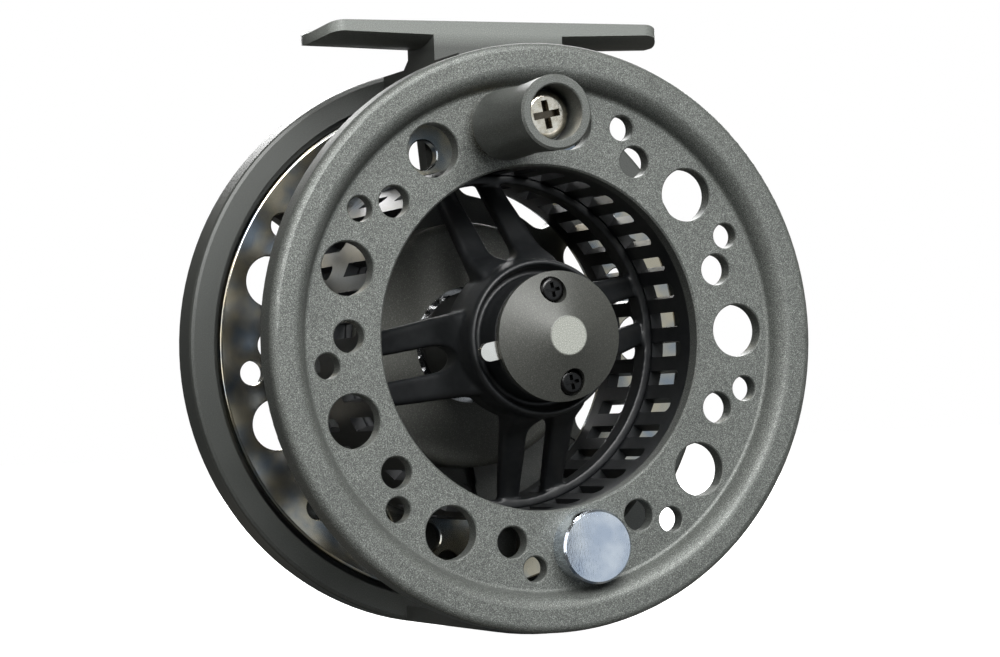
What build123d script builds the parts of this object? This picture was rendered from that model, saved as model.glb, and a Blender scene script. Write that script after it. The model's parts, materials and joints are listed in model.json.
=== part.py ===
from build123d import *
import os

# Large-arbor fly reel with a disc drag, a half frame and a palming rim.
#
# The reel is drawn in reel space: X runs along the rod, Y is the spin axis with its
# zero at the front of the palming rim and +Y towards the drag knob, Z is up. export_all
# moves every piece so that the origin is the middle of the foot's seat.
# An angle on the spool or frame is measured from +X towards +Z, seen from the handle side.
# A pair named ..._Y is where a piece starts and ends along the spin axis.

# ---------------------------------------------------------------- driving dimensions, mm

# How far a cutter reaches past the face it cuts, and the gap of a running fit
PAST = 1.0
FIT = 0.05

# Spool
RIM_R = 48.0
RIM_FLAT_R = 44.2
RIM_LIP_R = 45.6
RIM_BACK_Y = 5.8
RIM_FRONT_ROUND = 1.3
RIM_BACK_ROUND = 1.0
WEB_R = 40.9
WEB_FRONT_Y = 3.1
WEB_BACK_Y = 6.0
ARBOR_IN_R = 28.2
ARBOR_OUT_R = 30.2
OPENING_CHAMFER = 0.3
REAR_FLANGE_Y = (40.5, 42.5)
REAR_FLANGE_IN_R = 28.6
REAR_FLANGE_OUT_R = 43.2
REAR_FLANGE_ROUND = 0.6
SPOKE_ANGLE = 10.64
SPOKE_COUNT = 4
HANDLE_ANGLE = SPOKE_ANGLE + 90.0
WEIGHT_ANGLE = HANDLE_ANGLE - 180.0
LATCH_ANGLE = HANDLE_ANGLE + 90.0

# Hole pattern that the two flanges share: nine groups of a large, a small and a medium hole,
# each given as its circle's radius, its angle from the group's own and its hole radius
HOLE_GROUPS = 9
FIRST_HOLE_ANGLE = 80.64
LARGE_HOLE = (35.6, 0.0, 4.4)
SMALL_HOLE = (37.7, -15.05, 2.1)
MEDIUM_HOLE = (33.74, -22.26, 2.6)
EDGE_BREAK = 0.2

# Arbor slots: two rings of them, either side of the mid ridge
SLOT_COUNT = 36
SLOT_WIDE = 2.5
SLOT_ROWS = ((9.4, 20.3), (27.3, 37.0))

# Spider and hub
SPIDER_BAND_Y = (20.4, 24.6)
SPIDER_BAND_THICK = 1.5
SPOKE_HALF_AT_HUB = 7.1
SPOKE_HALF_AT_BAND = 5.8
SPOKE_SLOT_WIDE = 4.4
SPOKE_SLOT_START_R = 13.3
SPOKE_ROUND = 1.0
SPOKE_SLOT_ROUND = 0.5
HUB_FACE_Y = -0.9
HUB_FACE_R = 10.3
HUB_MOAT_Y = 5.3
HUB_CREST_Y = 2.6
HUB_TUBE_R = 9.3
HUB_TUBE_END_Y = 33.0
HUB_TAIL_R = 8.0
HUB_TAIL_END_Y = 37.8
HUB_BORE_R = 6.0
HUB_WAIST_R = 4.4
FRONT_BEARING_Y = (0.2, 4.2)
CLUTCH_Y = (24.0, 36.0)

# Handle and counterweight
HANDLE_R = 35.1
KNOB_BASE_Y = 1.3
KNOB_TIP_Y = -19.9
KNOB_BORE_R = 3.05
KNOB_RECESS_R = 4.4
KNOB_RECESS_Y = -13.4
HANDLE_SCREW_HEAD_R = 3.95
HANDLE_SCREW_R = 1.85
WEIGHT_R = 34.9
WEIGHT_SLUG_R = 6.05
WEIGHT_FACE_Y = -1.7
WEIGHT_DOME = 0.4
WEIGHT_SPIGOT_R = 4.35
WEIGHT_SCREW_R = 1.25

# Spindle, latch and hub cap
SPINDLE_R = 3.0
GROOVE_R = 2.2
GROOVE_Y = (-2.45, -0.85)
LATCH_Y = (-2.3, -1.0)
LATCH_TRAVEL = 0.9
CAP_BACK_Y = -2.4
CAP_EDGE_Y = -3.3
CAP_FACE_Y = -7.0
CAP_R = 10.6
CAP_FACE_R = 3.1
CAP_SCREW_CIRCLE_R = 7.6
CAP_SCREW_R = 1.0
CAP_SCREW_SEAT_Y = -3.1
CAP_SCREW_END_Y = 4.0

# Frame
RING_IN_R = 44.2
RING_OUT_R = 48.4
RING_FRONT_Y = 40.4
PLATE_Y = (44.0, 47.5)
BAR_FRONT_Y = 6.6
BAR_IN_R = 46.0
BAR_HALF = 11.7
GUARD_HALF = 11.0
WINDOW_R = (27.0, 41.0)
WINDOWS = ((-32.0, 36.5), (46.0, 85.0), (95.0, 134.0), (143.5, 212.0))
WINDOW_CORNER = 3.0
PANEL_R = (24.0, 40.0)
PANELS = ((216.0, 276.3), (279.7, 324.0))
PANEL_CORNER = 1.2
PANEL_DEPTH = 0.5
PLATE_GROOVE_ANGLE = 278.0
PLATE_GROOVE_R = (21.4, 42.0)
PLATE_GROOVE_WIDE = 1.8
PLATE_GROOVE_DEPTH = 2.2

# Foot: a shallow trough along X, cast on a short pedestal
FOOT_Y = (17.0, 32.3)
FOOT_EDGE_Z = 53.6
FOOT_ROOT_Z = 52.05
FOOT_ROOT_HALF = 1.5
FOOT_CORNER_X = 28.9
FOOT_TIP_X = 31.6
FOOT_CORNER_ROUND = 3.0
FOOT_TIP_THICK = 1.7
FOOT_NECK_THICK = 2.3
PEDESTAL_BACK_Y = 29.0

# Drag housing and stack, front to back along Y
HOUSING_R = 21.2
HOUSING_ROUND = 1.6
HOUSING_FRONT_Y = 34.0
HOUSING_WALL_Y = 35.6
HOUSING_MOUTH_R = 10.0
CLICK_CHAMBER_R = 18.6
COVER_Y = (38.0, 39.0)
STACK_R = 19.0
SEAL_OUT_R = 6.0
FRONT_WASHER_Y = (39.0, 39.6)
ROTOR_DISC_Y = (39.65, 40.65)
ROTOR_DISC_R = 18.0
REAR_WASHER_Y = (40.85, 41.45)
PRESSURE_PLATE_Y = (41.45, 43.0)
WASHER_RADII = (9.0, 18.2)
ROTOR_BOSS_R = 7.6
ROTOR_BOSS_Y = (39.1, 42.4)
ROTOR_KEY_WIDE = 2.4
ROTOR_BEARING_R = 5.0
ROTOR_BEARING_SEAT_Y = 39.9
SLEEVE_R = 4.0
SLEEVE_FRONT_Y = 22.5
THRUST_PIN_R = 1.5
THRUST_PIN_CIRCLE_R = 12.0
SPINDLE_SCREW_CIRCLE_R = 5.8
SPINDLE_SCREW_HEAD_R = 2.2
SPINDLE_SCREW_R = 1.1
SPINDLE_SCREW_END_Y = 43.2
HOUSING_SCREW_CIRCLE_R = 20.1
HOUSING_SCREW_HEAD_R = 1.4
HOUSING_SCREW_R = 0.7
HOUSING_SCREW_END_Y = 40.0

# Click
PAWL_ANGLE = 250.0
PAWL_PIVOT_R = 13.8
PAWL_PIN_R = 0.8
PAWL_TIP_R = 9.15
PAWL_Y = (36.2, 37.8)
CLICK_TEETH = 24
CLICK_ROOT_R = 8.4
CLICK_TIP_R = 9.0

# Drag knob group, behind the back plate
DRAG_KNOB_R = 20.0
DRAG_KNOB_Y = (48.1, 58.4)
DRAG_KNOB_FLUTES = 16
KNOB_CAP_R = 8.6
THRUST_PLATE_Y = (48.6, 49.8)
SPRING_Y = (49.8, 51.0)
NUT_Y = (51.9, 53.1)
NUT_END_Y = 55.3
NUT_FLANGE_R = 13.6
NUT_HEX_FLATS = 14.0
SPINDLE_END_Y = 56.9

# The middle of the foot's seat, which becomes the origin
SEAT = (0.0, (FOOT_Y[0] + FOOT_Y[1]) / 2, FOOT_ROOT_Z)

# ---------------------------------------------------------------- helpers


def middle(span):
    """Halfway along a pair."""
    return (span[0] + span[1]) / 2


def rod(radius, y0, y1):
    """A solid cylinder on the spin axis."""
    return Pos(0, (y0 + y1) / 2, 0) * Rot(90, 0, 0) * Cylinder(radius, y1 - y0)


def tube(inner, outer, y0, y1):
    """A plain ring on the spin axis."""
    return rod(outer, y0, y1) - rod(inner, y0 - PAST, y1 + PAST)


def turned(points):
    """A solid of revolution about the spin axis, from (radius, y) points."""
    return revolve(make_face(Polyline(*points, close=True)), Axis.Y, 360)


def at(angle, radius=0.0):
    """The place at an angle and radius about the spin axis."""
    return Rot(0, -angle, 0) * Pos(radius, 0, 0)


def slab(sketch, y0, y1):
    """A sketch drawn in X and Z, made solid from y0 to y1."""
    return extrude(Plane.XZ.offset(-y0) * sketch, y0 - y1)


def sector(radii, start, end, corner):
    """A ring sector with rounded corners, as a sketch."""
    near = CenterArc((0, 0), radii[0], start, end - start)
    far = CenterArc((0, 0), radii[1], start, end - start)
    outline = make_face([near, far, Line(near @ 0, far @ 0), Line(near @ 1, far @ 1)])
    return fillet(outline.vertices(), corner)


def around(count, first=0.0):
    """Evenly spaced angles."""
    return [first + 360.0 * index / count for index in range(count)]


def hole_drills(face_y, back_y, skip=()):
    """Drills for the flanges' shared hole pattern, which also break each hole's front edge.

    skip names the (group, hole) pairs to leave out.
    """
    drills = []
    for group, angle in enumerate(around(HOLE_GROUPS, FIRST_HOLE_ANGLE)):
        for which, (radius, lag, hole_r) in enumerate((LARGE_HOLE, SMALL_HOLE, MEDIUM_HOLE)):
            if (group, which) in skip:
                continue
            drill = turned([
                (0, face_y - EDGE_BREAK), (hole_r + 2 * EDGE_BREAK, face_y - EDGE_BREAK),
                (hole_r, face_y + EDGE_BREAK), (hole_r, back_y + PAST), (0, back_y + PAST),
            ])
            drills.append(at(angle + lag, radius) * drill)
    return drills


def cross_recess(span, wide, y0, y1):
    """The cutter for a cross-head drive, with blades as long as span."""
    blade = Pos(0, (y0 + y1) / 2, 0) * Box(span, y1 - y0, wide)
    return blade + Rot(0, 90, 0) * blade


def pan_head_screw(head_r, head_y, seat_y, shank_r, end_y):
    """A domed cross-head screw whose head rises from seat_y to head_y, towards -Y."""
    height = seat_y - head_y
    head = rod(head_r, head_y, seat_y)
    head = fillet(head.edges().group_by(Axis.Y)[0], 0.48 * height)
    recess = cross_recess(1.15 * head_r, 0.28 * head_r, head_y - PAST, head_y + 0.6 * height)
    return head - recess + rod(shank_r, seat_y, end_y)


def sunk_screw(head_r, shank_r, face_y, end_y):
    """A countersunk cross-head screw, flush with a back face at face_y and pointing to -Y."""
    neck_y = face_y - (head_r - shank_r)
    cone = turned([(0, face_y), (head_r, face_y), (shank_r, neck_y), (0, neck_y)])
    recess = cross_recess(1.1 * head_r, 0.3 * head_r, face_y - 0.45 * head_r, face_y + PAST)
    return cone + rod(shank_r, end_y, neck_y) - recess


def sink_cutter(head_r, shank_r, face_y, end_y):
    """The hole that a countersunk screw fills."""
    return turned([
        (0, face_y + PAST), (head_r, face_y + PAST), (head_r, face_y),
        (shank_r, face_y - (head_r - shank_r)), (shank_r, end_y), (0, end_y),
    ])


def coil_spring(coil_r, wire_r, length, turns):
    """A round-wire compression spring standing on the XY plane."""
    rise = length - 2 * wire_r
    path = Helix(pitch=rise / turns, height=rise, radius=coil_r)
    start = Plane(origin=path @ 0, z_dir=path % 0)
    return Pos(0, 0, wire_r) * sweep(start * Circle(wire_r), path=path)


def ball_bearing(inner, outer, y0, y1):
    """A shielded ball bearing: two races and a shield set slightly back."""
    race = 0.22 * (outer - inner)
    shield_depth = 0.15
    body = tube(inner, outer, y0, y1)
    body -= tube(inner + race, outer - race, y0 - PAST, y0 + shield_depth)
    return body - tube(inner + race, outer - race, y1 - shield_depth, y1 + PAST)


# ---------------------------------------------------------------- spool


def make_spool_rim():
    """Front flange with its drilled web and the palming rim around it."""
    front_centre = (RIM_R - RIM_FRONT_ROUND, RIM_FRONT_ROUND)
    back_centre = (RIM_R - RIM_BACK_ROUND, RIM_BACK_Y - RIM_BACK_ROUND)
    slope = Spline(
        (WEB_R, WEB_FRONT_Y), (WEB_R + 0.85, 2.1), (RIM_FLAT_R - 0.9, 0.2), (RIM_FLAT_R, 0.0),
        tangents=((1, 0), (1, 0)),
    )
    under_rim = Polyline(
        (RIM_R - RIM_BACK_ROUND, RIM_BACK_Y), (RIM_LIP_R, RIM_BACK_Y), (45.0, 3.6), (43.2, 4.2),
        (42.4, WEB_BACK_Y), (ARBOR_IN_R, WEB_BACK_Y), (ARBOR_IN_R, WEB_FRONT_Y + OPENING_CHAMFER),
        (ARBOR_IN_R + OPENING_CHAMFER, WEB_FRONT_Y), (WEB_R, WEB_FRONT_Y),
    )
    outline = [
        slope,
        Line((RIM_FLAT_R, 0.0), (RIM_R - RIM_FRONT_ROUND, 0.0)),
        CenterArc(front_centre, RIM_FRONT_ROUND, -90, 90),
        Line((RIM_R, RIM_FRONT_ROUND), (RIM_R, RIM_BACK_Y - RIM_BACK_ROUND)),
        CenterArc(back_centre, RIM_BACK_ROUND, 0, 90),
        under_rim,
    ]
    body = revolve(make_face(outline), Axis.Y, 360)
    # Two holes are left out under the handle, and the counterweight has a hole of its own
    body -= hole_drills(WEB_FRONT_Y, WEB_BACK_Y, skip={(1, 1), (1, 2), (5, 0)})
    body -= at(WEIGHT_ANGLE, WEIGHT_R) * rod(LARGE_HOLE[2], WEB_FRONT_Y - PAST, WEB_BACK_Y + PAST)
    return body - at(HANDLE_ANGLE, HANDLE_R) * rod(HANDLE_SCREW_R, WEB_FRONT_Y - PAST, WEB_BACK_Y + PAST)


def make_rear_flange():
    """Thin polished flange behind the line, drilled like the front one."""
    body = tube(REAR_FLANGE_IN_R, REAR_FLANGE_OUT_R, *REAR_FLANGE_Y)
    rims = body.edges().filter_by(GeomType.CIRCLE)
    body = fillet(rims.filter_by(lambda edge: edge.radius > REAR_FLANGE_OUT_R - PAST), REAR_FLANGE_ROUND)
    bores = body.edges().filter_by(GeomType.CIRCLE)
    body = chamfer(bores.filter_by(lambda edge: edge.radius < REAR_FLANGE_IN_R + FIT), OPENING_CHAMFER)
    return body - hole_drills(*REAR_FLANGE_Y)


def make_arbor_drum():
    """Slotted tube that the line is wound on."""
    body = tube(ARBOR_IN_R, ARBOR_OUT_R, WEB_BACK_Y, REAR_FLANGE_Y[0])
    mid_r = (ARBOR_IN_R + ARBOR_OUT_R) / 2
    deep = ARBOR_OUT_R - ARBOR_IN_R + 4 * PAST
    nose_r = SLOT_WIDE / 2
    cutters = []
    for y0, y1 in SLOT_ROWS:
        flat = Pos(mid_r, (y0 + nose_r + y1) / 2, 0) * Box(deep, y1 - y0 - nose_r, SLOT_WIDE)
        nose = Pos(mid_r, y0 + nose_r, 0) * Rot(0, 90, 0) * Cylinder(nose_r, deep)
        for angle in around(SLOT_COUNT, SPOKE_ANGLE + 5.0):
            cutters.append(at(angle) * (flat + nose))
    return body - cutters


def make_spoke():
    """One dished spoke along +X: two rounded rails either side of a slot."""
    band_r = ARBOR_IN_R - 0.4
    front = Spline(
        (10.8, 5.6), (12.1, 6.5), (13.5, 8.7), (15.0, 11.6), (19.1, 15.2), (25.8, 20.6),
        (band_r, SPIDER_BAND_Y[0] + 1.3),
    )
    back = Spline((band_r, SPIDER_BAND_Y[1] - 0.3), (25.8, 23.2), (20.2, 19.2), (16.5, 16.4), (10.8, 12.2))
    side_view = make_face([front, Line(front @ 1, back @ 0), back, Line(back @ 1, front @ 0)])
    plan = make_face(Polyline(
        (HUB_FACE_R, -SPOKE_HALF_AT_HUB), (HUB_FACE_R, SPOKE_HALF_AT_HUB),
        (ARBOR_OUT_R, SPOKE_HALF_AT_BAND), (ARBOR_OUT_R, -SPOKE_HALF_AT_BAND), close=True,
    ))
    spoke = extrude(side_view, SPOKE_HALF_AT_HUB, both=True) & slab(plan, 0.0, SPIDER_BAND_Y[1])
    curved_edges = spoke.edges().filter_by(lambda edge: edge.geom_type != GeomType.LINE)
    spoke = fillet(curved_edges.filter_by(lambda edge: abs(edge.center().Z) > PAST), SPOKE_ROUND)
    nose_r = SPOKE_SLOT_WIDE / 2
    nose_x = SPOKE_SLOT_START_R + nose_r
    slot = Pos(nose_x, 0, 0) * rod(nose_r, 0.0, SPIDER_BAND_Y[1] + PAST)
    slot += slab(Pos((nose_x + ARBOR_OUT_R) / 2, 0) * Rectangle(ARBOR_OUT_R - nose_x, SPOKE_SLOT_WIDE),
                 0.0, SPIDER_BAND_Y[1] + PAST)
    spoke -= slot
    curved_edges = spoke.edges().filter_by(lambda edge: edge.geom_type != GeomType.LINE)
    slot_edges = curved_edges.filter_by(lambda edge: abs(edge.center().Z) < nose_r + 0.2)
    return fillet(slot_edges, SPOKE_SLOT_ROUND)


def make_hub_spider():
    """Cup-shaped hub, four dished spokes and the band that seats in the arbor drum."""
    hub = turned([
        (0, HUB_FACE_Y), (HUB_FACE_R, HUB_FACE_Y), (HUB_FACE_R, HUB_MOAT_Y), (11.3, HUB_MOAT_Y),
        (11.9, HUB_CREST_Y + 0.5), (12.2, HUB_CREST_Y), (12.6, HUB_CREST_Y + 0.1), (12.95, 3.5),
        (13.3, 8.5), (13.2, 13.0), (11.2, 15.5), (HUB_TUBE_R, 17.0),
        (HUB_TUBE_R, HUB_TUBE_END_Y), (HUB_TAIL_R, HUB_TUBE_END_Y), (HUB_TAIL_R, HUB_TAIL_END_Y),
        (0, HUB_TAIL_END_Y),
    ])
    body = hub + tube(ARBOR_IN_R - SPIDER_BAND_THICK, ARBOR_IN_R, *SPIDER_BAND_Y)
    spoke = make_spoke() & rod(ARBOR_IN_R - 0.4, 0.0, SPIDER_BAND_Y[1])
    for angle in around(SPOKE_COUNT, SPOKE_ANGLE):
        body += at(angle) * spoke
    body -= rod(HUB_BORE_R, HUB_FACE_Y - PAST, FRONT_BEARING_Y[1])
    body -= rod(HUB_WAIST_R, FRONT_BEARING_Y[1], CLUTCH_Y[0])
    body -= rod(HUB_BORE_R, CLUTCH_Y[0], HUB_TAIL_END_Y + PAST)
    for angle in (HANDLE_ANGLE, WEIGHT_ANGLE):
        body -= at(angle, CAP_SCREW_CIRCLE_R) * rod(CAP_SCREW_R, HUB_FACE_Y - PAST, CAP_SCREW_END_Y)
    spring_groove = Pos(6.4, HUB_FACE_Y, 0) * Box(4.6, 0.8, 2.4)
    spring_stop = Pos(8.0, HUB_FACE_Y - 0.4, 0) * Box(0.8, 2.0, 2.0)
    return body - at(LATCH_ANGLE + 180) * spring_groove + at(LATCH_ANGLE + 180) * spring_stop


def make_click_gear():
    """Toothed ring on the hub's tail that the click pawl rides on."""
    body = tube(HUB_TAIL_R, CLICK_ROOT_R, PAWL_Y[0], HUB_TAIL_END_Y)
    base_r = CLICK_ROOT_R - 0.1
    tooth = make_face(Polyline(
        (base_r, -0.6), (CLICK_TIP_R, -0.2), (CLICK_TIP_R, 0.2), (base_r, 0.6), close=True,
    ))
    return body + [at(angle) * slab(tooth, PAWL_Y[0], HUB_TAIL_END_Y) for angle in around(CLICK_TEETH)]


def make_hub_cap():
    """Shallow cone over the latch, with two sunk screw holes and two hidden posts."""
    nose_r = 4.2
    nose_y = -5.0
    post_r = 1.9
    sunk_r = 2.2
    body = turned([
        (0, CAP_FACE_Y), (CAP_FACE_R, CAP_FACE_Y), (CAP_R, CAP_EDGE_Y), (CAP_R, CAP_BACK_Y),
        (nose_r, CAP_BACK_Y), (nose_r, nose_y), (0, nose_y),
    ])
    body -= at(LATCH_ANGLE + 180) * Pos(6.6, CAP_BACK_Y, 0) * Box(4.8, 0.8, 2.6)
    for angle in (HANDLE_ANGLE, WEIGHT_ANGLE):
        place = at(angle, CAP_SCREW_CIRCLE_R)
        body += place * rod(post_r, CAP_BACK_Y - 0.1, HUB_FACE_Y)
        body -= place * rod(sunk_r, CAP_FACE_Y - PAST, CAP_SCREW_SEAT_Y)
        body -= place * rod(CAP_SCREW_R, CAP_SCREW_SEAT_Y - PAST, HUB_FACE_Y + PAST)
    return body


def make_hub_cap_screws():
    """The two black cross-head screws in the hub cap."""
    screw = pan_head_screw(2.1, CAP_SCREW_SEAT_Y - 1.4, CAP_SCREW_SEAT_Y, CAP_SCREW_R, CAP_SCREW_END_Y)
    return Part() + [at(angle, CAP_SCREW_CIRCLE_R) * screw for angle in (HANDLE_ANGLE, WEIGHT_ANGLE)]


def make_latch_plate():
    """Spool release: a flat plate that grips the spindle's groove, with a round thumb tab."""
    tab_x = 12.1
    tab_r = 1.5
    screw_slot_wide = 4.0
    outline = Circle(10.2)
    outline -= Pos(-13.6, 0) * Rectangle(10, 30)
    outline += Pos(tab_x - 1.1, 0) * Rectangle(2.4, 2 * tab_r) + Pos(tab_x, 0) * Circle(tab_r)
    outline -= Pos(LATCH_TRAVEL, 0) * Circle(SPINDLE_R + 3 * FIT)
    outline -= Pos(-6.7, 0) * Rectangle(4.2, 2.5)
    screw_slot = SlotOverall(screw_slot_wide + LATCH_TRAVEL, screw_slot_wide)
    for side in (-1, 1):
        outline -= Pos(LATCH_TRAVEL / 2, side * CAP_SCREW_CIRCLE_R) * screw_slot
    return at(LATCH_ANGLE) * slab(outline, *LATCH_Y)


def make_latch_spring():
    """Small coil spring that keeps the latch plate in the groove."""
    spring = coil_spring(coil_r=0.73, wire_r=0.20, length=2.9, turns=5)
    return at(LATCH_ANGLE + 180) * Pos(4.65, middle(LATCH_Y), 0) * Rot(0, 90, 0) * spring


def make_counterweight():
    """Plated slug with a slightly domed face opposite the handle, and a spigot through the flange."""
    chamfer_mm = 0.35
    flat_r = WEIGHT_SLUG_R - chamfer_mm
    edge_y = WEIGHT_FACE_Y + WEIGHT_DOME
    dome = ThreePointArc((0, WEIGHT_FACE_Y), (flat_r / 2, WEIGHT_FACE_Y + WEIGHT_DOME / 4), (flat_r, edge_y))
    sides = Polyline(
        (flat_r, edge_y), (WEIGHT_SLUG_R, edge_y + chamfer_mm), (WEIGHT_SLUG_R, WEB_FRONT_Y),
        (WEIGHT_SPIGOT_R, WEB_FRONT_Y), (WEIGHT_SPIGOT_R, WEB_BACK_Y), (0, WEB_BACK_Y), (0, WEIGHT_FACE_Y),
    )
    slug = revolve(make_face([dome, sides]), Axis.Y, 360)
    slug -= rod(WEIGHT_SCREW_R, 1.2, WEB_BACK_Y + PAST)
    return at(WEIGHT_ANGLE, WEIGHT_R) * slug


def make_counterweight_screw():
    """Washer-head screw that clamps the counterweight from behind the flange."""
    screw = mirror(pan_head_screw(4.6, -1.3, 0.0, WEIGHT_SCREW_R, 4.6), Plane.XZ)
    return at(WEIGHT_ANGLE, WEIGHT_R) * Pos(0, WEB_BACK_Y, 0) * screw


# ---------------------------------------------------------------- handle


def make_handle_knob():
    """Waisted knob that turns on its post, recessed at the tip for the screw's head."""
    base_round = 1.1
    side_y = KNOB_BASE_Y - base_round
    chamfer_y = KNOB_TIP_Y + 0.4
    outline = [
        Line((KNOB_BORE_R, KNOB_BASE_Y), (4.7, KNOB_BASE_Y)),
        CenterArc((4.7, side_y), base_round, 90, -90),
        Spline((5.8, side_y), (5.55, -8.5), (5.95, chamfer_y), tangents=((0, -1), (0.02, -1))),
        Polyline(
            (5.95, chamfer_y), (5.6, KNOB_TIP_Y), (KNOB_RECESS_R + 0.2, KNOB_TIP_Y),
            (KNOB_RECESS_R, KNOB_TIP_Y + 0.2), (KNOB_RECESS_R, KNOB_RECESS_Y),
            (KNOB_BORE_R, KNOB_RECESS_Y), (KNOB_BORE_R, KNOB_BASE_Y),
        ),
    ]
    return at(HANDLE_ANGLE, HANDLE_R) * revolve(make_face(outline), Axis.Y, 360)


def make_handle_bush():
    """Brass post between the flange and the screw head, with a collar under the knob."""
    collar_r = 4.2
    post = tube(HANDLE_SCREW_R, KNOB_BORE_R - FIT, KNOB_RECESS_Y - 0.1, WEB_FRONT_Y)
    collar = tube(HANDLE_SCREW_R, collar_r, KNOB_BASE_Y + 0.1, WEB_FRONT_Y)
    return at(HANDLE_ANGLE, HANDLE_R) * (post + collar)


def make_handle_screw():
    """Nickel-plated pan-head screw through the handle post into the flange."""
    seat_y = KNOB_RECESS_Y - 0.1
    head_y = seat_y - 2.4
    screw = pan_head_screw(HANDLE_SCREW_HEAD_R, head_y, seat_y, HANDLE_SCREW_R, WEB_BACK_Y)
    return at(HANDLE_ANGLE, HANDLE_R) * screw


# ---------------------------------------------------------------- one-way clutch


def make_roller_clutch():
    """One-way needle clutch pressed in the hub; it lets the spool run free on the retrieve."""
    y0, y1 = CLUTCH_Y
    shell_in_r = 4.95
    lip_r = SLEEVE_R + 0.2
    lip = 0.6
    roller_r = 0.44
    shell = tube(shell_in_r, HUB_BORE_R, y0, y1)
    shell += tube(lip_r, shell_in_r + FIT, y0, y0 + lip)
    shell += tube(lip_r, shell_in_r + FIT, y1 - lip, y1)
    roller = rod(roller_r, y0 + lip + 0.2, y1 - lip - 0.2)
    return Part() + [shell] + [at(angle, SLEEVE_R + roller_r + FIT) * roller for angle in around(14)]


# ---------------------------------------------------------------- frame


def foot_section(thickness, x):
    """Foot cross-section at x: trough above, matching bulge below."""
    y0, y1 = FOOT_Y
    mid = middle(FOOT_Y)
    knee = 0.55 * (y1 - y0) / 2

    def surface(drop):
        knee_z = FOOT_EDGE_Z - drop - 0.73 * (FOOT_EDGE_Z - FOOT_ROOT_Z)
        root_z = FOOT_ROOT_Z - drop
        return [
            (x, y0, FOOT_EDGE_Z - drop), (x, mid - knee, knee_z), (x, mid - FOOT_ROOT_HALF, root_z),
            (x, mid + FOOT_ROOT_HALF, root_z), (x, mid + knee, knee_z), (x, y1, FOOT_EDGE_Z - drop),
        ]

    top = surface(0.0)
    low = surface(thickness)
    return make_face([
        ThreePointArc(*top[:3]), Line(top[2], top[3]), ThreePointArc(*top[3:]),
        Line(top[5], low[5]),
        ThreePointArc(*low[5:2:-1]), Line(low[3], low[2]), ThreePointArc(*low[2::-1]),
        Line(low[0], top[0]),
    ])


def make_foot():
    """Both wings and the middle of the reel foot."""
    foot = extrude(foot_section(FOOT_NECK_THICK, 0.0), BAR_HALF, both=True, dir=(1, 0, 0))
    for side in (-1, 1):
        root = foot_section(FOOT_NECK_THICK, side * BAR_HALF)
        tip = foot_section(FOOT_TIP_THICK, side * (FOOT_TIP_X + PAST))
        foot += loft([root, tip], ruled=True)
    y0, y1 = FOOT_Y
    right = ThreePointArc((FOOT_CORNER_X, y0), (FOOT_TIP_X, middle(FOOT_Y)), (FOOT_CORNER_X, y1))
    left = ThreePointArc((-FOOT_CORNER_X, y1), (-FOOT_TIP_X, middle(FOOT_Y)), (-FOOT_CORNER_X, y0))
    plan = make_face([right, Line(right @ 1, left @ 0), left, Line(left @ 1, right @ 0)])
    plan = fillet(plan.vertices(), FOOT_CORNER_ROUND)
    return foot & (Pos(0, 0, FOOT_ROOT_Z - 6) * extrude(plan, 12))


def make_pedestal():
    """Block that carries the foot on the upper bar."""
    y0, y1 = FOOT_Y
    top_z = FOOT_EDGE_Z - 1.2
    low_z = 45.0
    side = Plane.YZ * make_face(Polyline(
        (y0, low_z), (y0, top_z), (y1 - 1.0, top_z), (PEDESTAL_BACK_Y, 50.6), (PEDESTAL_BACK_Y, 48.4),
        (PEDESTAL_BACK_Y + 5, low_z), close=True,
    ))
    block = extrude(side, BAR_HALF, both=True)
    arc = ThreePointArc((y0 - FIT, FOOT_EDGE_Z), (SEAT[1], FOOT_ROOT_Z - 0.6), (y1 + FIT, FOOT_EDGE_Z))
    trough = extrude(Plane.YZ * make_face([arc, Line(arc @ 1, arc @ 0)]), 2 * BAR_HALF, both=True)
    return block - trough - rod(BAR_IN_R, 0, RIM_R)


def make_bar(half_width, above):
    """A straight arm of the half frame, cut from the ring's own cylinder."""
    z = RING_OUT_R if above else -RING_OUT_R
    keep = Pos(0, RING_FRONT_Y / 2, z) * Box(2 * half_width, RING_OUT_R * 2, 20)
    return tube(BAR_IN_R, RING_OUT_R, BAR_FRONT_Y, RING_FRONT_Y + 0.5) & keep


def make_back_plate():
    """Ported plate behind the spool, with its recessed lower sector."""
    y0, y1 = PLATE_Y
    plate = rod(RING_IN_R + 0.1, y0, y1)
    for start, end in WINDOWS:
        plate -= slab(sector(WINDOW_R, start, end, WINDOW_CORNER), y0 - PAST, y1 + PAST)
    for start, end in PANELS:
        panel = sector(PANEL_R, start, end, PANEL_CORNER)
        plate -= slab(panel, y0 - PAST, y0 + PANEL_DEPTH)
        plate -= slab(panel, y1 - PANEL_DEPTH, y1 + PAST)
    groove_long = PLATE_GROOVE_R[1] - PLATE_GROOVE_R[0]
    groove = Pos(middle(PLATE_GROOVE_R), y0, 0) * Box(groove_long, 2 * PLATE_GROOVE_DEPTH, PLATE_GROOVE_WIDE)
    return plate - at(PLATE_GROOVE_ANGLE) * groove


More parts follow.
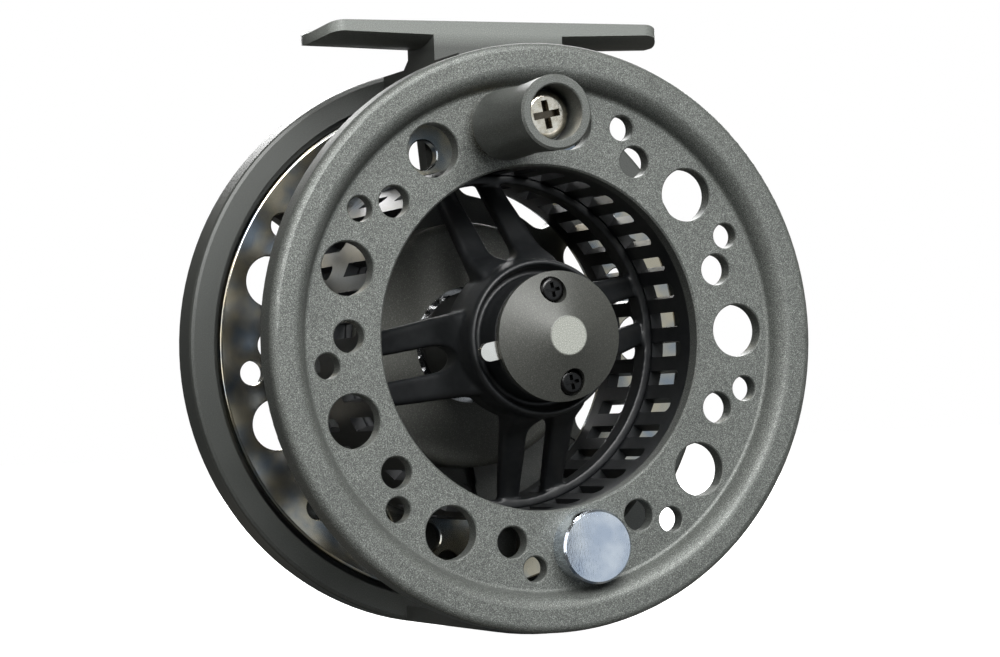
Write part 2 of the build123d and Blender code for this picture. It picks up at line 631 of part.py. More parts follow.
def make_frame():
    """One casting: ring, back plate, upper and lower bars, pedestal and foot."""
    y0, y1 = PLATE_Y
    ring = turned([
        (RING_IN_R, RING_FRONT_Y), (RING_OUT_R - 0.7, RING_FRONT_Y), (RING_OUT_R - 0.2, RING_FRONT_Y + 0.2),
        (RING_OUT_R, RING_FRONT_Y + 0.7), (RING_OUT_R, y1 - 0.8), (RING_OUT_R - 0.8, y1),
        (RING_IN_R - 0.4, y1), (RING_IN_R - 0.4, y0), (RING_IN_R, y0),
    ])
    body = make_back_plate() + ring
    body += make_bar(BAR_HALF, above=True)
    body += make_bar(GUARD_HALF, above=False)
    body += make_pedestal()
    body += make_foot()
    body -= rod(SPINDLE_R + FIT, y0 - PAST, y1 + PAST)
    for angle in around(3, 90):
        body -= at(angle, THRUST_PIN_CIRCLE_R) * rod(THRUST_PIN_R + FIT, y0 - PAST, y1 + PAST)
    spindle_sink = sink_cutter(SPINDLE_SCREW_HEAD_R, SPINDLE_SCREW_R, y1, y0 - PAST)
    for angle in around(3, 30):
        body -= at(angle, SPINDLE_SCREW_CIRCLE_R) * spindle_sink
    housing_sink = sink_cutter(HOUSING_SCREW_HEAD_R, HOUSING_SCREW_R, y1, y0 - PAST)
    for angle in around(4, 45):
        body -= at(angle, HOUSING_SCREW_CIRCLE_R) * housing_sink
    return body


# ---------------------------------------------------------------- fixed pieces in the housing


def make_drag_housing():
    """Drum on the back plate that holds the click and the drag stack."""
    round_centre = (HOUSING_R - HOUSING_ROUND, HOUSING_FRONT_Y + HOUSING_ROUND)
    outline = [
        Line((HOUSING_MOUTH_R, HOUSING_FRONT_Y), (HOUSING_R - HOUSING_ROUND, HOUSING_FRONT_Y)),
        CenterArc(round_centre, HOUSING_ROUND, -90, 90),
        Polyline(
            (HOUSING_R, HOUSING_FRONT_Y + HOUSING_ROUND), (HOUSING_R, PLATE_Y[0]), (STACK_R, PLATE_Y[0]),
            (STACK_R, COVER_Y[0]), (CLICK_CHAMBER_R, COVER_Y[0]), (CLICK_CHAMBER_R, HOUSING_WALL_Y),
            (HOUSING_MOUTH_R, HOUSING_WALL_Y), (HOUSING_MOUTH_R, HOUSING_FRONT_Y),
        ),
    ]
    body = revolve(make_face(outline), Axis.Y, 360)
    for angle in around(4, 45):
        screw_hole = rod(HOUSING_SCREW_R, HOUSING_SCREW_END_Y, PLATE_Y[0] + PAST)
        body -= at(angle, HOUSING_SCREW_CIRCLE_R) * screw_hole
    return body


def make_housing_screws():
    """Four small countersunk screws that hold the drum on the back plate."""
    screw = sunk_screw(HOUSING_SCREW_HEAD_R, HOUSING_SCREW_R, PLATE_Y[1], HOUSING_SCREW_END_Y)
    return Part() + [at(angle, HOUSING_SCREW_CIRCLE_R) * screw for angle in around(4, 45)]


def make_spindle():
    """Fixed axle: front nose with the latch groove, flange on the back plate, threaded stub."""
    nose_y = -4.2
    shoulder_r = 3.9
    flange_r = 8.0
    flange_y = 42.6
    body = turned([
        (0, nose_y), (SPINDLE_R - 0.6, nose_y), (SPINDLE_R, nose_y + 0.8), (SPINDLE_R, GROOVE_Y[0]),
        (GROOVE_R, GROOVE_Y[0]), (GROOVE_R, GROOVE_Y[1]), (SPINDLE_R, GROOVE_Y[1]),
        (SPINDLE_R, flange_y - 0.15), (shoulder_r, flange_y - 0.15), (shoulder_r, flange_y),
        (flange_r, flange_y), (flange_r, PLATE_Y[0]), (SPINDLE_R, PLATE_Y[0]),
        (SPINDLE_R, SPINDLE_END_Y), (0, SPINDLE_END_Y),
    ])
    body -= rod(1.5, 50.0, SPINDLE_END_Y + PAST)
    for angle in around(3, 30):
        screw_hole = rod(SPINDLE_SCREW_R, SPINDLE_SCREW_END_Y, PLATE_Y[0] + PAST)
        body -= at(angle, SPINDLE_SCREW_CIRCLE_R) * screw_hole
    return body


def make_spindle_screws():
    """Three countersunk screws from the back plate into the spindle's flange."""
    screw = sunk_screw(SPINDLE_SCREW_HEAD_R, SPINDLE_SCREW_R, PLATE_Y[1], SPINDLE_SCREW_END_Y)
    return Part() + [at(angle, SPINDLE_SCREW_CIRCLE_R) * screw for angle in around(3, 30)]


def make_drag_cover():
    """Partition between the click chamber and the sealed drag stack."""
    body = tube(SEAL_OUT_R, STACK_R, *COVER_Y)
    return body - at(PAWL_ANGLE, PAWL_PIVOT_R) * rod(PAWL_PIN_R, COVER_Y[0] - PAST, COVER_Y[1] + PAST)


def make_sleeve_seal():
    """Rubber ring in the partition, round the rotor's sleeve."""
    return tube(SLEEVE_R + FIT, SEAL_OUT_R, *COVER_Y)


def make_front_washer():
    """Friction ring between the partition and the rotor disc."""
    return tube(*WASHER_RADII, *FRONT_WASHER_Y)


def make_rear_washer():
    """Friction ring between the rotor disc and the pressure plate."""
    return tube(*WASHER_RADII, *REAR_WASHER_Y)


# ---------------------------------------------------------------- click


def make_click_pawl():
    """Pointed pawl that rocks on its pin as the gear's teeth go by."""
    tip_x = PAWL_TIP_R - PAWL_PIVOT_R
    outline = make_face(Polyline(
        (tip_x, 0), (tip_x + 1.6, -1.1), (1.8, -1.4), (2.3, 0), (1.8, 1.4), (tip_x + 1.6, 1.1), close=True,
    ))
    body = slab(outline, *PAWL_Y) - rod(PAWL_PIN_R + FIT, PAWL_Y[0] - PAST, PAWL_Y[1] + PAST)
    return at(PAWL_ANGLE, PAWL_PIVOT_R) * body


def make_pawl_pin():
    """Shouldered pin that the pawl rocks on, riveted in the partition."""
    head_r = 1.3
    shoulder_y = PAWL_Y[0] - 0.1
    pin = rod(PAWL_PIN_R, shoulder_y, COVER_Y[1]) + rod(head_r, HOUSING_WALL_Y + FIT, shoulder_y)
    return at(PAWL_ANGLE, PAWL_PIVOT_R) * pin


def make_pawl_spring():
    """Leaf spring across the pawl's tail that centres it."""
    leaf = Pos(2.5, middle(PAWL_Y), 0) * Box(0.25, 1.2, 7.0)
    anchor = Pos(2.9, COVER_Y[0] - 0.7, -3.0) * Box(0.9, 1.4, 1.2)
    return at(PAWL_ANGLE, PAWL_PIVOT_R) * (leaf + anchor)


# ---------------------------------------------------------------- rotating and sliding drag pieces


def make_drag_rotor():
    """Hardened sleeve for the clutch, with the boss that carries the rotor disc."""
    bore_r = SPINDLE_R + FIT
    body = turned([
        (bore_r, SLEEVE_FRONT_Y), (SLEEVE_R - 0.3, SLEEVE_FRONT_Y), (SLEEVE_R, SLEEVE_FRONT_Y + 0.3),
        (SLEEVE_R, ROTOR_BOSS_Y[0]), (ROTOR_BOSS_R, ROTOR_BOSS_Y[0]), (ROTOR_BOSS_R, ROTOR_BOSS_Y[1]),
        (ROTOR_BEARING_R, ROTOR_BOSS_Y[1]), (ROTOR_BEARING_R, ROTOR_BEARING_SEAT_Y),
        (bore_r, ROTOR_BEARING_SEAT_Y),
    ])
    # Each keyway is open at the back, so the disc slides in
    keyway = Pos(ROTOR_BOSS_R, 41.0, 0) * Box(2.0, 3.0, ROTOR_KEY_WIDE)
    return body - [at(angle) * keyway for angle in around(3)]


def make_rotor_disc():
    """Steel disc keyed to the rotor's boss."""
    y0, y1 = ROTOR_DISC_Y
    key = Pos(ROTOR_BOSS_R, middle(ROTOR_DISC_Y), 0) * Box(2.0, y1 - y0, ROTOR_KEY_WIDE)
    return tube(ROTOR_BOSS_R, ROTOR_DISC_R, y0, y1) + [at(angle) * key for angle in around(3)]


def make_rotor_bearing():
    """Bearing that centres the drag rotor on the spindle."""
    return ball_bearing(SPINDLE_R + 0.02, ROTOR_BEARING_R, ROTOR_BEARING_SEAT_Y + FIT, ROTOR_BOSS_Y[1])


def make_front_bearing():
    """Bearing in the front of the hub that carries the spool on the spindle."""
    return ball_bearing(SPINDLE_R + 0.02, HUB_BORE_R, *FRONT_BEARING_Y)


def make_pressure_plate():
    """Plate that the thrust pins push against the friction rings."""
    return tube(WASHER_RADII[0] - 0.4, STACK_R - 0.2, *PRESSURE_PLATE_Y)


def make_thrust_pins():
    """Ring behind the back plate with three pins that reach through it."""
    body = tube(9.8, 14.2, *THRUST_PLATE_Y)
    pin = rod(THRUST_PIN_R, PRESSURE_PLATE_Y[1], THRUST_PLATE_Y[0])
    return body + [at(angle, THRUST_PIN_CIRCLE_R) * pin for angle in around(3, 90)]


def make_spring_washer():
    """Disc spring under the drag nut, drawn at its working height."""
    inner, outer = 9.0, 13.8
    cone = 0.5
    y0, y1 = SPRING_Y
    return turned([(inner, y0 + cone), (outer, y0), (outer, y1 - cone), (inner, y1)])


def make_drag_nut():
    """Flanged hexagon nut on the spindle's thread; the knob turns it."""
    hexagon = RegularPolygon(NUT_HEX_FLATS / 2, 6, major_radius=False)
    body = rod(NUT_FLANGE_R, *NUT_Y) + slab(hexagon, NUT_Y[1], NUT_END_Y)
    return body - rod(SPINDLE_R + FIT, NUT_Y[0] - PAST, NUT_END_Y + PAST)


def make_drag_knob():
    """Fluted knob with a hexagon socket for the nut."""
    y0, y1 = DRAG_KNOB_Y
    skirt_r = NUT_FLANGE_R + 0.9
    roof_y = NUT_Y[1] + 0.1
    cap_seat_y = 57.1
    back_chamfer = 2.2
    body = turned([
        (skirt_r, y0), (DRAG_KNOB_R - 0.6, y0), (DRAG_KNOB_R, y0 + 0.6), (DRAG_KNOB_R, y1 - back_chamfer),
        (DRAG_KNOB_R - back_chamfer, y1), (KNOB_CAP_R, y1), (KNOB_CAP_R, cap_seat_y),
        (SPINDLE_R + 0.1, cap_seat_y), (SPINDLE_R + 0.1, roof_y), (skirt_r, roof_y),
    ])
    socket = RegularPolygon(NUT_HEX_FLATS / 2 + 0.08, 6, major_radius=False)
    body -= slab(socket, NUT_Y[1], NUT_END_Y + 0.3)
    flute = rod(3.0, y0 - PAST, y1 + PAST)
    return body - [at(angle, DRAG_KNOB_R + 1.9) * flute for angle in around(DRAG_KNOB_FLUTES, 11.25)]


def make_knob_screw():
    """Pan-head screw in the spindle's end that keeps the knob on."""
    shank_r = 1.5
    step = 0.25
    screw = mirror(pan_head_screw(4.6, -1.0, 0.0, shank_r, 6.0), Plane.XZ)
    screw -= tube(shank_r, 10.0, -step, 0)
    return Pos(0, SPINDLE_END_Y + step, 0) * screw


def make_knob_cap():
    """Plain domed disc pressed in the back of the drag knob."""
    y0 = 58.3
    y1 = DRAG_KNOB_Y[1]
    return turned([(0, y0), (KNOB_CAP_R, y0), (KNOB_CAP_R, y1), (KNOB_CAP_R - 0.8, y1 + 0.5), (0, y1 + 0.8)])


# ---------------------------------------------------------------- the whole reel

PIECES = {
    "frame": make_frame,
    "drag_housing": make_drag_housing,
    "housing_screws": make_housing_screws,
    "spindle": make_spindle,
    "spindle_screws": make_spindle_screws,
    "drag_cover": make_drag_cover,
    "sleeve_seal": make_sleeve_seal,
    "front_friction_washer": make_front_washer,
    "pawl_pin": make_pawl_pin,
    "pawl_spring": make_pawl_spring,
    "click_pawl": make_click_pawl,
    "drag_rotor": make_drag_rotor,
    "rotor_disc": make_rotor_disc,
    "rotor_bearing": make_rotor_bearing,
    "rear_friction_washer": make_rear_washer,
    "pressure_plate": make_pressure_plate,
    "thrust_pins": make_thrust_pins,
    "spring_washer": make_spring_washer,
    "drag_nut": make_drag_nut,
    "drag_knob": make_drag_knob,
    "knob_cap": make_knob_cap,
    "knob_screw": make_knob_screw,
    "spool_rim": make_spool_rim,
    "arbor_drum": make_arbor_drum,
    "rear_flange": make_rear_flange,
    "hub_spider": make_hub_spider,
    "click_gear": make_click_gear,
    "roller_clutch": make_roller_clutch,
    "front_bearing": make_front_bearing,
    "hub_cap": make_hub_cap,
    "hub_cap_screws": make_hub_cap_screws,
    "latch_plate": make_latch_plate,
    "latch_spring": make_latch_spring,
    "counterweight": make_counterweight,
    "counterweight_screw": make_counterweight_screw,
    "handle_bush": make_handle_bush,
    "handle_screw": make_handle_screw,
    "handle_knob": make_handle_knob,
}


def export_all():
    """Build every piece, put the origin on the foot's seat and write one file each."""
    os.makedirs("parts", exist_ok=True)
    to_seat = Pos(-SEAT[0], -SEAT[1], -SEAT[2])
    for name, make in PIECES.items():
        export_step(to_seat * make(), f"parts/{name}.step")


export_all()
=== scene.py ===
import json
import math

import bpy
from mathutils import Matrix, Vector


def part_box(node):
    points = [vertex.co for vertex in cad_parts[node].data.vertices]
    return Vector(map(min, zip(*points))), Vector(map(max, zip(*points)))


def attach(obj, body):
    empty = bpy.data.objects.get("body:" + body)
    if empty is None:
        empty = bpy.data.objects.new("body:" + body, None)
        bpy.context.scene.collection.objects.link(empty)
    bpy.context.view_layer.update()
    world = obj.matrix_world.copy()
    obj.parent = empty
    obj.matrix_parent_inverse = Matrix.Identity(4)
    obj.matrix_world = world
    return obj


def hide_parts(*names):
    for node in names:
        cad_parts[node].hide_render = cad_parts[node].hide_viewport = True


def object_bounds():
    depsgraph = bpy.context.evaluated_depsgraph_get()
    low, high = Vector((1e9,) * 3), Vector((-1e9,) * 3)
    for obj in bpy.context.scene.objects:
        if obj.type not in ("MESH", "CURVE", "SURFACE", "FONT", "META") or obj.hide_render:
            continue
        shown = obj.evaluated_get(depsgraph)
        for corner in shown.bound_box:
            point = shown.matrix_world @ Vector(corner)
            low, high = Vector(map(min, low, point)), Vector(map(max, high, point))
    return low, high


# Looks for the fly reel: materials, a softened spider, floor, lights and camera around the
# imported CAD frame. Everything is in metres in the row frame, whose origin is the middle of
# the foot's seat.

MM = 0.001

# Paint: flecks of one size with a shallow bump, shared by every sprayed piece
FLECK_MM = 0.15
FLECK_BUMP_MM = 0.006
FLECK_BUMP_STRENGTH = 0.4

# Where the painted light and painted shade start and end on a piece, in millimetres
CAP_PAINTED_LIGHT_EDGE_R = (2.9, 3.3)
FOOT_PAINTED_LIGHT_DEPTH = (4.5, 2.0)
SCREW_RECESS_SHADE_DEPTH = (0.6, 1.3)

# The spider's cast look
SPIDER_VOXEL_MM = 0.28
SPIDER_SMOOTH_STEPS = 9

# The floor, in metres
FLOOR_SIDE = 6.0
FLOOR_GAP = 0.0005

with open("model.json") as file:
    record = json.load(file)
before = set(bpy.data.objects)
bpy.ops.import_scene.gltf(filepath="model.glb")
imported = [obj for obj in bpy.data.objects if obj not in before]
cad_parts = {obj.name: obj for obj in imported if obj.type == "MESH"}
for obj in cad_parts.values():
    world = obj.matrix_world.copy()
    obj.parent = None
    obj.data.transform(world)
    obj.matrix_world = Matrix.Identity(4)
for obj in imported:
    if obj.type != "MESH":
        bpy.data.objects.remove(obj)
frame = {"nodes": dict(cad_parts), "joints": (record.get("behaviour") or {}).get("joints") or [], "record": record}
cad_low, cad_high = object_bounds()
nodes = frame["nodes"]


def joint(name):
    """The named joint of the record."""
    return next(item for item in frame["joints"] if item["name"] == name)


SPIN_AXIS = Vector(joint("spool_spin")["pos_m"])
RIM_FRONT_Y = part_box("spool_rim")[0].y
RIM_CENTRE = Vector((SPIN_AXIS.x, RIM_FRONT_Y, SPIN_AXIS.z))

# ---------------------------------------------------------------- material toolkit


class Shader:
    """A Principled material with short names for the nodes that the finishes share."""

    def __init__(self, name):
        self.material = bpy.data.materials.new(name)
        self.material.use_nodes = True
        self.tree = self.material.node_tree
        self.bsdf = self.tree.nodes["Principled BSDF"]
        self.place = self.tree.nodes.new("ShaderNodeTexCoord").outputs["Object"]

    def link(self, source, target):
        self.tree.links.new(source, target)

    def set(self, socket, value):
        self.bsdf.inputs[socket].default_value = value

    def stretched(self, scale):
        """Object coordinates scaled per axis."""
        mapping = self.tree.nodes.new("ShaderNodeMapping")
        mapping.inputs["Scale"].default_value = scale
        self.link(self.place, mapping.inputs["Vector"])
        return mapping.outputs["Vector"]

    def noise(self, size_mm, detail=2.0, stretch=(1, 1, 1)):
        """Noise whose features are about size_mm across."""
        node = self.tree.nodes.new("ShaderNodeTexNoise")
        node.inputs["Scale"].default_value = 1.0 / (size_mm * MM)
        node.inputs["Detail"].default_value = detail
        self.link(self.stretched(stretch), node.inputs["Vector"])
        return node.outputs["Fac"]

    def radius(self, low_mm, high_mm):
        """0 to 1 as the distance from the spin axis goes from low to high."""
        offset = self.tree.nodes.new("ShaderNodeVectorMath")
        offset.operation = "SUBTRACT"
        offset.inputs[1].default_value = SPIN_AXIS
        self.link(self.place, offset.inputs[0])
        flat = self.tree.nodes.new("ShaderNodeVectorMath")
        flat.operation = "MULTIPLY"
        flat.inputs[1].default_value = (1, 0, 1)
        self.link(offset.outputs["Vector"], flat.inputs[0])
        length = self.tree.nodes.new("ShaderNodeVectorMath")
        length.operation = "LENGTH"
        self.link(flat.outputs["Vector"], length.inputs[0])
        spread = self.tree.nodes.new("ShaderNodeMapRange")
        spread.inputs["From Min"].default_value = low_mm * MM
        spread.inputs["From Max"].default_value = high_mm * MM
        self.link(length.outputs["Value"], spread.inputs["Value"])
        return spread.outputs["Result"]

    def along(self, axis, low, high):
        """0 to 1 as the place on an axis, in metres, goes from low to high."""
        split = self.tree.nodes.new("ShaderNodeSeparateXYZ")
        self.link(self.place, split.inputs["Vector"])
        spread = self.tree.nodes.new("ShaderNodeMapRange")
        spread.inputs["From Min"].default_value = low
        spread.inputs["From Max"].default_value = high
        self.link(split.outputs[axis], spread.inputs["Value"])
        return spread.outputs["Result"]

    def ramp(self, source, stops):
        """A colour ramp from (position, colour) stops."""
        node = self.tree.nodes.new("ShaderNodeValToRGB")
        elements = node.color_ramp.elements
        while len(elements) < len(stops):
            elements.new(0.5)
        for element, (position, colour) in zip(elements, stops):
            element.position = position
            element.color = (*colour, 1.0)
        self.link(source, node.inputs["Fac"])
        return node.outputs["Color"]

    def spread(self, source, low, high):
        """A value mapped from 0..1 to low..high."""
        node = self.tree.nodes.new("ShaderNodeMapRange")
        node.inputs["To Min"].default_value = low
        node.inputs["To Max"].default_value = high
        self.link(source, node.inputs["Value"])
        return node.outputs["Result"]

    def tinted(self, first, second):
        """Two colours multiplied."""
        node = self.tree.nodes.new("ShaderNodeMix")
        node.data_type = "RGBA"
        node.blend_type = "MULTIPLY"
        node.inputs["Factor"].default_value = 1.0
        self.link(first, node.inputs["A"])
        self.link(second, node.inputs["B"])
        return node.outputs["Result"]

    def bump(self, source, height_mm, strength):
        """Bump of the given height on the shader's normal."""
        node = self.tree.nodes.new("ShaderNodeBump")
        node.inputs["Strength"].default_value = strength
        node.inputs["Distance"].default_value = height_mm * MM
        self.link(source, node.inputs["Height"])
        self.link(node.outputs["Normal"], self.bsdf.inputs["Normal"])


def grey(level, warm=0.0):
    """A near-neutral colour, slightly warm where warm is above zero."""
    return (level * (1 + warm), level, level * (1 - warm))


def paint_grey(level, warm=0.0):
    """The paint's grey, which leans a little towards green."""
    return (level * (0.94 + warm), level, level * (0.93 - warm))


# ---------------------------------------------------------------- finishes


def speckled_paint(name, dark, light, warm=0.0, roughness=(0.50, 0.62), metallic=0.15):
    """Metallic paint: fine dark and light flecks, a few bright ones, over a slow drift."""
    shader = Shader(name)
    flecks = shader.noise(FLECK_MM, detail=1.5)
    drift = shader.noise(8.0, detail=2.0)
    mid = (dark + light) / 2
    colour = shader.ramp(flecks, [
        (0.34, paint_grey(dark, warm)), (0.50, paint_grey(mid, warm)),
        (0.62, paint_grey(light, warm)), (0.72, paint_grey(1.8 * light, warm)),
    ])
    shade = shader.ramp(drift, [(0.3, grey(0.88)), (0.7, grey(1.0))])
    shader.link(shader.tinted(colour, shade), shader.bsdf.inputs["Base Color"])
    shader.link(shader.spread(flecks, *roughness), shader.bsdf.inputs["Roughness"])
    shader.set("Metallic", metallic)
    shader.bump(flecks, FLECK_BUMP_MM, FLECK_BUMP_STRENGTH)
    return shader.material


def cap_paint(name):
    """The speckled paint of the hub cap, with painted light on its flat top, which is painted five times lighter
    than the cone.
    """
    shader = Shader(name)
    flecks = shader.noise(FLECK_MM, detail=1.5)
    colour = shader.ramp(flecks, [
        (0.34, paint_grey(0.20, 0.03)), (0.62, paint_grey(0.34, 0.03)),
        (0.72, paint_grey(0.55, 0.03)),
    ])
    # Painted light: the flat top is painted five times lighter than the cone, standing in for the light that falls
    # on it.
    top = shader.ramp(shader.radius(*CAP_PAINTED_LIGHT_EDGE_R), [(0.0, grey(1.0)), (1.0, grey(0.20))])
    shader.link(shader.tinted(colour, top), shader.bsdf.inputs["Base Color"])
    shader.link(shader.spread(flecks, 0.42, 0.52), shader.bsdf.inputs["Roughness"])
    shader.set("Metallic", 0.3)
    shader.bump(flecks, FLECK_BUMP_MM, FLECK_BUMP_STRENGTH)
    return shader.material


def frame_paint(name):
    """The casting's smoother paint, painted lighter on the foot as painted light from above and darker below it as
    painted shade.
    """
    shader = Shader(name)
    flecks = shader.noise(FLECK_MM, detail=1.5)
    colour = shader.ramp(flecks, [
        (0.34, paint_grey(0.12)), (0.62, paint_grey(0.18)), (0.72, paint_grey(0.26)),
    ])
    foot_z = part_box("frame")[1].z
    deep, shallow = FOOT_PAINTED_LIGHT_DEPTH
    height = shader.along("Z", foot_z - deep * MM, foot_z - shallow * MM)
    # Painted light and shade: full colour on the foot for the light from above, fading to 0.38 of it below as
    # painted shade on the rest of the casting.
    painted_foot_light = shader.ramp(height, [(0.0, grey(0.38)), (1.0, grey(1.0))])
    shader.link(shader.tinted(colour, painted_foot_light), shader.bsdf.inputs["Base Color"])
    shader.link(shader.spread(flecks, 0.40, 0.50), shader.bsdf.inputs["Roughness"])
    shader.set("Metallic", 0.15)
    shader.bump(flecks, FLECK_BUMP_MM, FLECK_BUMP_STRENGTH)
    return shader.material


def nickel_plate(name):
    """Bright warm plate of the handle screw, painted dark down in its recess as painted shade."""
    shader = Shader(name)
    marks = shader.noise(0.5, detail=3.0)
    face_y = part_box("handle_screw")[0].y
    plate = shader.ramp(shader.noise(1.5), [(0.35, (0.60, 0.54, 0.43)), (0.62, (0.86, 0.81, 0.70))])
    start, end = SCREW_RECESS_SHADE_DEPTH
    depth = shader.along("Y", face_y + start * MM, face_y + end * MM)
    # Painted shade: the colour fades to near black down in the recess, standing in for the shade there.
    painted_recess_shade = shader.ramp(depth, [(0.0, grey(1.0)), (1.0, grey(0.12, 0.1))])
    shader.link(shader.tinted(plate, painted_recess_shade), shader.bsdf.inputs["Base Color"])
    shader.link(shader.spread(marks, 0.10, 0.26), shader.bsdf.inputs["Roughness"])
    shader.set("Metallic", 1.0)
    shader.bump(marks, 0.05, 0.5)
    return shader.material


def satin_enamel(name, base, light, roughness=(0.30, 0.42)):
    """Smooth dark enamel with a faint orange-peel skin."""
    shader = Shader(name)
    skin = shader.noise(1.4, detail=2.0)
    dust = shader.noise(0.22, detail=1.0)
    shader.link(shader.ramp(skin, [(0.3, base), (0.75, light)]), shader.bsdf.inputs["Base Color"])
    shader.link(shader.spread(dust, *roughness), shader.bsdf.inputs["Roughness"])
    shader.bump(skin, 0.02, 0.35)
    return shader.material


def bare_metal(
    name, dark, light, roughness=(0.18, 0.32), grain=(1, 1, 1), grain_mm=0.25, height_mm=0.004,
):
    """Machined or plated metal with fine directional marks over a slow cloud of tone."""
    shader = Shader(name)
    marks = shader.noise(grain_mm, detail=3.0, stretch=grain)
    cloud = shader.noise(5.0, detail=2.0)
    shader.link(shader.ramp(cloud, [(0.35, dark), (0.62, light)]), shader.bsdf.inputs["Base Color"])
    shader.link(shader.spread(marks, *roughness), shader.bsdf.inputs["Roughness"])
    shader.set("Metallic", 1.0)
    shader.bump(marks, height_mm, 0.5)
    return shader.material


def moulded_plastic(name, base, light, roughness=(0.42, 0.55)):
    """Moulded surface with a fine spark-eroded texture."""
    shader = Shader(name)
    texture = shader.noise(0.28, detail=3.0)
    cloud = shader.noise(4.0, detail=1.0)
    shader.link(shader.ramp(cloud, [(0.3, base), (0.7, light)]), shader.bsdf.inputs["Base Color"])
    shader.link(shader.spread(texture, *roughness), shader.bsdf.inputs["Roughness"])
    shader.bump(texture, 0.02, 0.4)
    return shader.material


FINISHES = {
    "spool_paint": lambda: speckled_paint(
        "spool_paint", 0.05, 0.165, metallic=0.35, roughness=(0.44, 0.56),
    ),
    "frame_paint": lambda: frame_paint("frame_paint"),
    "cap_paint": lambda: cap_paint("cap_paint"),
    "housing_paint": lambda: speckled_paint("housing_paint", 0.10, 0.14, warm=0.04),
    "drag_knob_paint": lambda: speckled_paint("drag_knob_paint", 0.04, 0.09),
    "black_satin": lambda: satin_enamel(
        "black_satin", (0.006, 0.007, 0.008), (0.011, 0.012, 0.013), (0.38, 0.50),
    ),
    "black_polish": lambda: bare_metal(
        "black_polish", (0.26, 0.30, 0.34), (0.52, 0.47, 0.36), (0.12, 0.22),
    ),
    "black_screw": lambda: bare_metal("black_screw", grey(0.02), grey(0.035), (0.2, 0.35)),
    "nickel": lambda: nickel_plate("nickel"),
    "chrome_plate": lambda: bare_metal(
        "chrome_plate", (0.56, 0.63, 0.74), (0.82, 0.87, 0.93), (0.02, 0.22),
        grain=(6, 1, 1), grain_mm=0.9, height_mm=0.06,
    ),
    "handle_plastic": lambda: speckled_paint("handle_plastic", 0.05, 0.13, roughness=(0.36, 0.46)),
    "brass": lambda: bare_metal("brass", (0.5, 0.36, 0.15), (0.72, 0.55, 0.28)),
    "latch_steel": lambda: bare_metal("latch_steel", (0.8, 0.78, 0.70), (0.92, 0.9, 0.84), (0.15, 0.25)),
    "steel": lambda: bare_metal("steel", (0.42, 0.43, 0.44), (0.6, 0.61, 0.62)),
    "spring_steel": lambda: bare_metal("spring_steel", (0.25, 0.25, 0.26), (0.4, 0.4, 0.41)),
    "nut_brass": lambda: bare_metal("nut_brass", (0.5, 0.36, 0.15), (0.7, 0.53, 0.28)),
    "carbon_friction": lambda: moulded_plastic("carbon_friction", grey(0.012), grey(0.03)),
    "cover_metal": lambda: bare_metal("cover_metal", grey(0.4), grey(0.55)),
    "seal_rubber": lambda: moulded_plastic("seal_rubber", grey(0.012), grey(0.02), (0.6, 0.8)),
}


def finish_nodes():
    """Every CAD node gets the finish of its material slot."""
    made = {}
    for subpart in frame["record"]["subparts"]:
        slot = subpart["material_slot"]
        if slot not in made:
            made[slot] = FINISHES[slot]()
        mesh = nodes[subpart["node"]].data
        mesh.materials.clear()
        mesh.materials.append(made[slot])


# ---------------------------------------------------------------- cast shapes


def soften_spider():
    """The cast look of the spider: a remeshed copy whose edges and junctions are rounded."""
    source = nodes["hub_spider"]
    spider = source.copy()
    spider.data = source.data.copy()
    spider.name = "cast_spider"
    bpy.context.scene.collection.objects.link(spider)
    remesh = spider.modifiers.new("remesh", "REMESH")
    remesh.mode = "VOXEL"
    remesh.voxel_size = SPIDER_VOXEL_MM * MM
    remesh.use_smooth_shade = True
    smooth = spider.modifiers.new("smooth", "SMOOTH")
    smooth.factor = 0.5
    smooth.iterations = SPIDER_SMOOTH_STEPS
    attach(spider, "spool")
    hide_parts("hub_spider")


# ---------------------------------------------------------------- studio


def add_floor():
    """Plain pale floor under the reel, seen by the camera but not mirrored in the metal."""
    bpy.ops.mesh.primitive_plane_add(size=FLOOR_SIDE, location=(0, 0, cad_low.z - FLOOR_GAP))
    floor = bpy.context.object
    floor.name = "floor"
    shader = Shader("pale_floor")
    tone = shader.ramp(shader.noise(80.0), [(0.3, grey(0.86)), (0.7, grey(0.88))])
    shader.link(tone, shader.bsdf.inputs["Base Color"])
    shader.set("Roughness", 1.0)
    shader.set("Emission Color", (1, 1, 1, 1))
    shader.set("Emission Strength", 1.0)
    floor.data.materials.append(shader.material)
    floor.visible_glossy = False
    floor.visible_diffuse = False


def add_softbox(name, direction, distance, size, power, colour=(1, 1, 1)):
    """A rectangular softbox that faces the rim's centre from a direction."""
    light = bpy.data.lights.new(name, "AREA")
    light.shape = "RECTANGLE"
    light.size, light.size_y = size
    light.energy = power
    light.color = colour
    lamp = bpy.data.objects.new(name, light)
    bpy.context.scene.collection.objects.link(lamp)
    towards = Vector(direction).normalized()
    lamp.location = RIM_CENTRE + towards * distance
    lamp.rotation_euler = towards.to_track_quat("Z", "Y").to_euler()


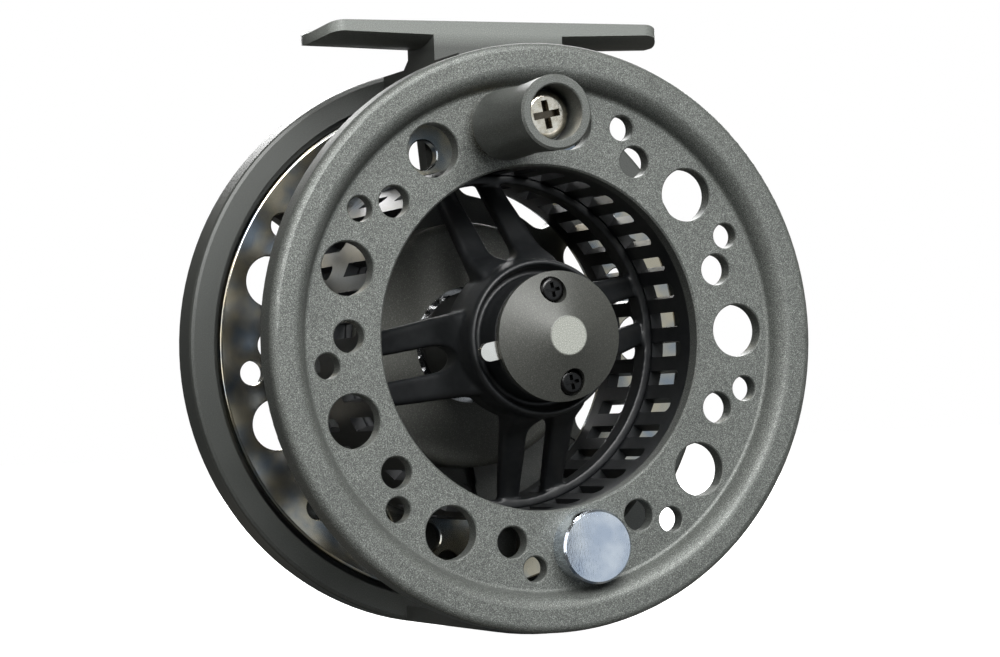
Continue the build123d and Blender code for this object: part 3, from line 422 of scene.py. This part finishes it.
def add_lights():
    """Soft studio light: a broad key, weak fills, a strip above and a light behind the reel."""
    add_softbox("key", (-0.10, -0.86, 0.50), 1.1, (0.8, 0.5), 19.5)
    add_softbox("fill", (0.50, -0.86, -0.10), 0.9, (0.7, 0.6), 0.8, (0.85, 0.92, 1.0))
    add_softbox("side", (-0.85, -0.50, 0.15), 0.9, (0.4, 0.7), 2.0)
    add_softbox("top", (0.0, -0.45, 0.88), 0.8, (0.5, 0.3), 4.5)
    add_softbox("back", (0.35, 0.85, 0.40), 1.1, (0.8, 0.6), 14.0)
    world = bpy.data.worlds.new("studio")
    bpy.context.scene.world = world
    world.use_nodes = True
    tree = world.node_tree
    cloud = tree.nodes.new("ShaderNodeTexNoise")
    cloud.inputs["Scale"].default_value = 2.2
    cloud.inputs["Detail"].default_value = 2.0
    tint = tree.nodes.new("ShaderNodeValToRGB")
    tint.color_ramp.elements[0].position = 0.40
    tint.color_ramp.elements[0].color = (0.04, 0.05, 0.06, 1)
    tint.color_ramp.elements[1].position = 0.65
    tint.color_ramp.elements[1].color = (0.27, 0.25, 0.21, 1)
    tree.links.new(tree.nodes.new("ShaderNodeTexCoord").outputs["Generated"], cloud.inputs["Vector"])
    tree.links.new(cloud.outputs["Fac"], tint.inputs["Fac"])
    background = tree.nodes["Background"]
    tree.links.new(tint.outputs["Color"], background.inputs["Color"])
    shown = tree.nodes.new("ShaderNodeBackground")
    shown.inputs["Color"].default_value = (1, 1, 1, 1)
    path = tree.nodes.new("ShaderNodeLightPath")
    chooser = tree.nodes.new("ShaderNodeMixShader")
    tree.links.new(path.outputs["Is Camera Ray"], chooser.inputs["Fac"])
    tree.links.new(background.outputs["Background"], chooser.inputs[1])
    tree.links.new(shown.outputs["Background"], chooser.inputs[2])
    tree.links.new(chooser.outputs["Shader"], tree.nodes["World Output"].inputs["Surface"])


def add_camera():
    """Long lens, low on the handle side, turned towards the rear of the reel."""
    azimuth = math.radians(-23.267)
    elevation = math.radians(-1.664)
    roll = math.radians(-2.115)
    distance = 0.49219
    aim = RIM_CENTRE + Vector((-8.974, 0.0, 1.574)) * MM
    back = Vector((
        math.sin(azimuth) * math.cos(elevation),
        -math.cos(azimuth) * math.cos(elevation),
        math.sin(elevation),
    ))
    lens = bpy.data.cameras.new("camera")
    lens.lens = 110.0
    lens.sensor_width = 36.0
    lens.clip_start = 0.01
    camera = bpy.data.objects.new("camera", lens)
    bpy.context.scene.collection.objects.link(camera)
    turn = (-back).to_track_quat("-Z", "Y").to_matrix() @ Matrix.Rotation(roll, 3, "Z")
    camera.matrix_world = Matrix.Translation(aim + back * distance) @ turn.to_4x4()
    bpy.context.scene.camera = camera


# ---------------------------------------------------------------- the scene

add_camera()
finish_nodes()
soften_spider()
add_floor()
add_lights()
bpy.context.scene.view_settings.view_transform = "Standard"
